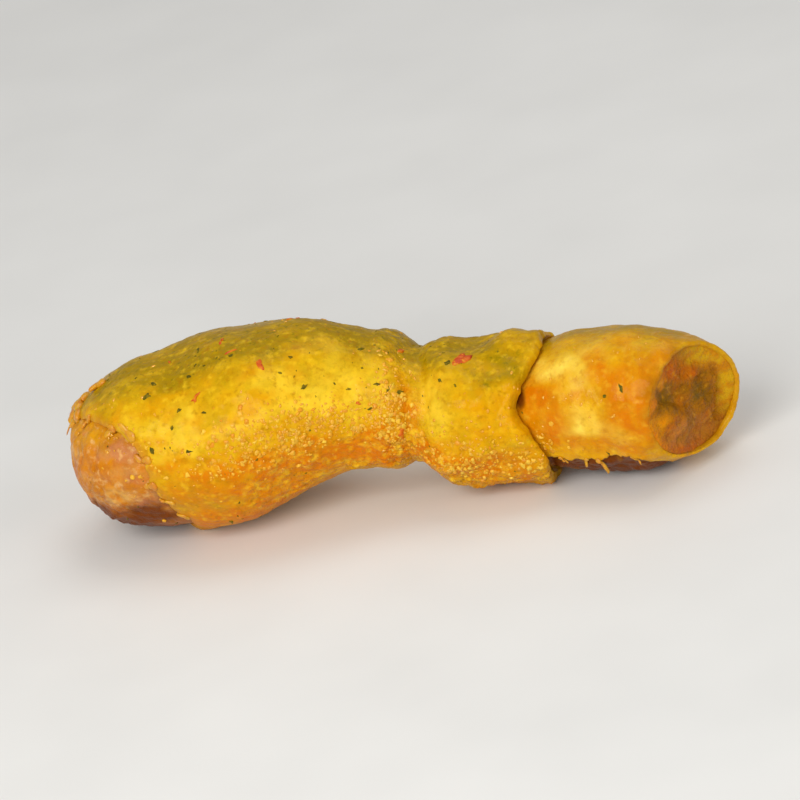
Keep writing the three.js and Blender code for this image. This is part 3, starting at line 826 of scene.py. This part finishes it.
def blobs(name, at, sizes, turns, uneven, sunk, columns, seed):
    """One mesh of closed lumps at places along and round the leg. Each is a sphere with three chance waves
    round it, scaled to its half length, width and height, turned, and sunk by a share of the last."""
    chance = np.random.default_rng(seed)
    count, rows = len(at), columns // 2 + 1
    polar = np.linspace(0, np.pi, rows + 2)[1:-1, None]
    azimuth = angles_round(columns)
    waves, starts = chance.random((3, count, 1, 1)), 2 * np.pi * chance.random((3, count, 1, 1))
    wavy = sum((waves[k] - 0.3) * np.cos((k + 2) * azimuth + starts[k]) for k in range(3))
    swell = 1 + uneven * wavy * np.sin(polar) + 0.3 * uneven * np.cos(3 * polar + starts[0])
    x, y = np.sin(polar) * np.cos(azimuth), np.sin(polar) * np.sin(azimuth)
    ball = np.stack([swell * x, swell * y, swell * np.cos(polar)], -1)
    tips = np.zeros((count, 2, 3))
    tips[:, 0, 2], tips[:, 1, 2] = swell[:, 0, 0], -swell[:, -1, 0]
    shape = np.concatenate([ball.reshape(count, -1, 3), tips], axis=1) * sizes[:, None, :]
    shape[..., 2] -= sunk * sizes[:, None, 2]
    c, s = np.cos(turns)[:, None], np.sin(turns)[:, None]
    x, y, z = np.moveaxis(shape, -1, 0)
    shape = np.stack([c * x - s * y, s * x + c * y, z], -1)
    centre, *axes = on_leg(at[:, 0], at[:, 1])
    points = centre[:, None] + sum(shape[..., k : k + 1] * axes[k][:, None] for k in range(3))
    piece = closed_shapes(name, points, rows, columns)
    tint = np.repeat(chance.random(count), rows * columns + 2).astype(np.float32)
    piece.data.attributes.new("tint", "FLOAT", "POINT").data.foreach_set("value", tint)
    return piece


strewn = strewn_places()
chance = np.random.default_rng(81)
small = []
for _ in range(CHILLI_SMALL):
    small.append((chance.uniform(20, 100), chance.uniform(0, 360), chance.uniform(0.7, 1.4)))
chilli_at = np.array(CHILLI_SEEN + strewn["chilli"] + small)
turns = 2 * np.pi * chance.random(len(chilli_at) - len(CHILLI_TURN))
turns = np.concatenate([np.radians(CHILLI_TURN), turns])
half = chilli_at[:, 2:] * [0.5, 0.24, 0] + [0, 0, 0.35]
chilli = blobs("chilli_flakes", chilli_at, half, turns, 0.6, 0.45, 14, 82)

# Dried chilli that has soaked up oil is a glossy red skin, orange where it is thin.
tree, shader, place = new_material(
    chilli, "oil soaked chilli",
    {
        "Roughness": 0.38, "Specular IOR Level": 0.25,
        "Subsurface Weight": 0.05, "Subsurface Radius": (0.0005, 0.0002, 0.0001),
        "Coat Weight": 0.08,
    },
)
tone = laid_over(
    tree, "#c44400",
    ("#d87000", speckle(place, 1.4, 0.38, 0.62)),
    ("#dc9410", speckle(place, 0.7, 0.56, 0.7)),
)
join(shader, tone, [(speckle(place, 0.6, 0.3, 0.7, 3), 0.1)])
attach(chilli, "root")

# Herb flakes. They are crumbs of dried green herbs, nearly black where they are wet, mostly on the top of
# the leg. Those that the photograph shows have their own places.
HERB_SEEN = [
    (59.3, 146, 1.7), (69.7, 109, 1.5), (57, 124, 1.2), (55.1, 135, 1), (39.5, 118, 0.8),
    (42.1, 115, 1), (37.5, 115, 0.9), (36.4, 123, 1.3), (28.9, 122, 2.2), (34.4, 143, 1.4),
    (39.7, 148, 1.5), (32.9, 152, 1.3), (28.3, 162, 2), (86.5, 115, 1.8), (88.1, 134, 1.1),
    (85, 130, 1.3), (126.5, 144, 2.1), (121.5, 151, 1.2), (118.3, 204, 1.1), (59.2, 176, 1),
]
HERB_SMALL, HERB_SIDES = 140, [80, 80, 200, 300]
small = []
for _ in range(HERB_SMALL):
    along = chance.uniform(16, 100)
    angle = chance.choice(HERB_SIDES) + chance.normal(0, 38)
    small.append((along, angle, chance.uniform(0.35, 0.8)))
herb_at = np.array(HERB_SEEN + strewn["herb"] + small)
half = herb_at[:, 2:] * [0.4, 0.22, 0] + np.minimum(1, herb_at[:, 2:]) * [0, 0, 0.2]
turns = 2 * np.pi * chance.random(len(herb_at))
herb = blobs("herb_flakes", herb_at, half, turns, 0.6, 0.25, 10, 83)

# Dried parsley and pepper in oil: dull dark green, brown at the edges.
tree, shader, place = new_material(
    herb, "oil soaked dried herb",
    {"Roughness": 0.5, "Specular IOR Level": 0.15},
)
tone = laid_over(tree, "#6e6404", ("#403c02", "tint"), ("#8c7408", speckle(place, 0.7, 0.45, 0.7)))
join(shader, tone, [(speckle(place, 0.5, 0.3, 0.7, 3), 0.1)])
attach(herb, "root")

# Crumbs of fat and of coagulated marinade. They are soft pale lumps of up to 1.5 mm, caught low in front,
# along the gather, under the roll and at the torn edge of the skin. Each group has its middle along and
# round the leg, its spread and its count.
CRUMB_GROUPS = (
    ((57, 175), (9, 9), 330), ((44, 170), (6, 8), 90), ((75, 168), (2.2, 26), 200), ((88, 196), (7, 11), 220),
    ((101, 200), (2, 9), 50), ((27, 165), (3, 16), 20), ((60, 300), (25, 40), 60),
)


def gathered(groups, last):
    """Chance places, spread in groups about middles along and round the leg, from 9 mm to the last."""
    places = np.vstack([chance.normal(middle, spread, (count, 2)) for middle, spread, count in groups])
    return places[(places[:, 0] > 9) & (places[:, 0] < last)]


at = gathered(CRUMB_GROUPS, 126)
length = 0.24 + 0.46 * chance.random(len(at)) ** 2
half = np.column_stack([length, length * chance.uniform(0.7, 1, len(at)), length * 0.7])
turns = 2 * np.pi * chance.random(len(at))
crumbs = blobs("fat_crumbs", at, half, turns, 0.45, 0.45, 10, 84)

# Raw fat stained by turmeric is pale yellow, translucent and wet.
tree, shader, place = new_material(
    crumbs, "raw fat stained with turmeric",
    {
        "Roughness": 0.26, "Specular IOR Level": 0.3,
        "Subsurface Weight": 0.3, "Subsurface Radius": (0.001, 0.0007, 0.0003),
    },
)
smear = speckle(place, 3, 0.42, 0.62, 3)
tone = laid_over(tree, "#f6c43c", ("#de8c0c", "tint"), ("#e69c10", 0.6, smear))
join(shader, tone)
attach(crumbs, "root")

# Beads of oil. They are clear yellow drops under a millimetre wide. They cling to the rough places and
# catch the light.
BEAD_GROUPS = (
    ((56, 174), (10, 11), 300), ((75, 160), (2.5, 34), 140), ((90, 182), (7, 18), 150),
    ((20, 160), (7, 18), 50), ((118, 150), (8, 26), 50), ((128, 100), (3, 30), 16), ((60, 90), (25, 40), 50),
)
at = gathered(BEAD_GROUPS, 130)
length = 0.14 + 0.32 * chance.random(len(at)) ** 2.5
half = np.column_stack([length, length * chance.uniform(0.5, 0.95, len(at)), length * 0.55])
turns = 2 * np.pi * chance.random(len(at))
beads = blobs("oil_beads", at, half, turns, 0.35, 0.3, 8, 85)

# Oil is smooth, so it mirrors the lights.
new_material(
    beads, "turmeric oil",
    {
        "Base Color": "#e09c14", "Roughness": 0.08, "IOR": 1.47,
        "Coat Weight": 0.6, "Coat Roughness": 0.04,
    },
)
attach(beads, "root")

# Shreds. They are tabs and strings of membrane and skin that hang from the torn edges at the knee and at
# the ankle. They are a few millimetres long and up to 2 mm thick, and most are stuck down by the marinade.


def shreds(name, along, degrees, reach, drift, lift, sag, width, thick, seed):
    """One mesh of tapering strips. The middle line of each runs from its place by its reach along the leg
    and its drift in degrees round it, with a chance curl. It rises off the leg by its lift times the square
    of the share of the way and hangs by its sag times the cube. The section is an oval that swells early
    and runs out to a point."""
    chance = np.random.default_rng(seed)
    count, steps, columns = len(along), 24, 12
    t = np.linspace(0, 1, steps)
    curl = chance.normal(0, 1, (count, 2))
    a = along[:, None] + reach[:, None] * t + 0.25 * curl[:, :1] * np.sin(3 * np.pi * t) * t
    b = degrees[:, None] + drift[:, None] * t + 1.5 * curl[:, 1:] * np.sin(2.5 * np.pi * t) * t
    base, _, _, outward = on_leg(a.ravel(), b.ravel())
    middle = (base + outward * (0.1 + (lift[:, None] * t**2).ravel())[:, None]).reshape(count, steps, 3)
    middle[..., 2] -= sag[:, None] * t**3
    outward = outward.reshape(count, steps, 3)
    way = unit(np.gradient(middle, axis=1))
    side = unit(np.cross(way, outward))
    outward = np.cross(side, way)
    full = np.sqrt(np.clip(t * 6, 0, 1)) * np.sqrt(1 - t**2.5) * (1 + 0.2 * np.sin(9 * t)) + 0.03
    turn = angles_round(columns)[0]
    across = (width[:, None] / 2 * full)[..., None] * np.cos(turn)
    up = (thick[:, None] / 2 * full**0.6)[..., None] * np.sin(turn)
    rings = middle[:, :, None] + across[..., None] * side[:, :, None] + up[..., None] * outward[:, :, None]
    tips = np.stack([middle[:, 0], middle[:, -1]], axis=1)
    points = np.concatenate([rings.reshape(count, -1, 3), tips], axis=1)
    return closed_shapes(name, points, steps, columns)


SHRED_PLACES = [84, 131, 144, 155, 168, 182, 197, 212, 20, 330]
# Each of these has its place along and round the leg, reach, drift, lift, sag, width and thickness.
SHREDS_SEEN = np.array([
    (12.5, 93, -3.2, 3, 1.6, 0.4, 3.4, 1.7), (11.5, 106, -2.6, 2, 1.5, 0.8, 3.8, 1.8),
    (11.5, 118, -2.4, 4, 0.9, 0.8, 3, 1.4), (10.5, 100, -2, 2, 3, 4.4, 0.7, 0.4),
    (17, 97, -3, 6, 0.8, 0.1, 2.4, 1.2), (105, 207, 1.5, 10, 0.4, 0.2, 0.9, 0.4),
    (111, 206, -1, 12, 0.4, 0.3, 0.8, 0.4), (114, 208, 2, 14, 1.2, 0.6, 1, 0.4),
    (125, 207, 2.5, 9, 0.8, 0.3, 0.6, 0.4),
])
TUCKED_UNDER, NEAREST_KNEE = 1.6, 8.3
degrees = np.array(SHRED_PLACES)
count = len(degrees)
start = hem_along(np.radians(degrees)) + TUCKED_UNDER
strewn_ones = [
    start,
    degrees,
    -np.minimum(chance.uniform(1.8, 3.8, count), start - NEAREST_KNEE),
    chance.normal(0, 6, count),
    chance.uniform(0.05, 0.3, count),
    chance.uniform(0, 0.3, count),
    chance.uniform(0.9, 1.9, count),
    chance.uniform(0.5, 0.8, count),
]
tabs = shreds("skin_shreds", *np.hstack([strewn_ones, SHREDS_SEEN.T]), 86)

# Wet membrane is thin enough to let light through: straw yellow, with a gloss.
tree, shader, place = new_material(
    tabs, "wet membrane",
    {
        "Roughness": 0.35,
        "Subsurface Weight": 0.3, "Subsurface Radius": (0.0015, 0.0008, 0.0004),
    },
)
tone = laid_over(tree, "#d89c10", ("#cc8010", speckle(place, 2, 0.4, 0.65)))
join(shader, tone)
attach(tabs, "root")

# The studio. It has a plain pale floor, a large soft light in front on the left, and weaker ones on the right
# and overhead. A long lens looks down at the leg from in front, turned so the ankle is high.
LOOK_AROUND, LOOK_DOWN, ROLL = 16, 24, 14
DISTANCE, LENS, LIGHT_SIZE, LIGHT_HEIGHT = 1.3, 300, 0.6, 0.015

floor_mesh = bpy.data.meshes.new("floor")
floor_mesh.from_pydata([(-3, -3, 0), (3, -3, 0), (3, 3, 0), (-3, 3, 0)], [], [(0, 1, 2, 3)])
floor = bpy.data.objects.new("floor", floor_mesh)
bpy.context.collection.objects.link(floor)
tree, shader, place = new_material(floor, "pale matt board", {"Roughness": 0.8})
tone = laid_over(tree, "#e9e8e6", ("#e4e3e1", speckle(place, 40, 0.3, 0.7)))
join(shader, tone)


def towards(azimuth, elevation):
    """The direction from the leg to a place round it: azimuth 0 is in front, at -Y, and 90 is at +X."""
    a, e = np.radians([azimuth, elevation])
    return Vector((np.sin(a) * np.cos(e), -np.cos(a) * np.cos(e), np.sin(e)))


def soft_light(name, azimuth, elevation, distance, power, tint):
    """A square light that faces the leg."""
    made = bpy.data.lights.new(name, "AREA")
    made.energy, made.size, made.color = power, LIGHT_SIZE, colour(tint)[:3]
    lamp = bpy.data.objects.new(name, made)
    where = towards(azimuth, elevation)
    lamp.location = where * distance + Vector((0, 0, LIGHT_HEIGHT))
    lamp.rotation_euler = where.to_track_quat("Z", "Y").to_euler()
    bpy.context.collection.objects.link(lamp)


soft_light("key", -12, 33, 0.9, 5.9, "#fffefa")
soft_light("fill", 60, 25, 1, 1.4, "#ffffff")
soft_light("top", 150, 70, 1, 2.2, "#ffffff")

world = bpy.data.worlds.new("studio")
world.use_nodes = True
sky = world.node_tree.nodes["Background"]
sky.inputs["Color"].default_value = colour("#f2f2f0")
sky.inputs["Strength"].default_value = 0.42
studio = bpy.context.scene
studio.world = world
studio.view_settings.view_transform = "Standard"

lens = bpy.data.cameras.new("camera")
lens.lens, lens.sensor_width, lens.clip_end = LENS, 36, 20
camera = bpy.data.objects.new("camera", lens)
where = towards(LOOK_AROUND, LOOK_DOWN)
facing = where.to_track_quat("Z", "Y").to_matrix().to_4x4()
middle = (cad_box[0] + cad_box[1]) / 2
rolled = Matrix.Rotation(np.radians(-ROLL), 4, "Z")
camera.matrix_world = Matrix.Translation(middle + where * DISTANCE) @ facing @ rolled
bpy.context.collection.objects.link(camera)
studio.camera = camera
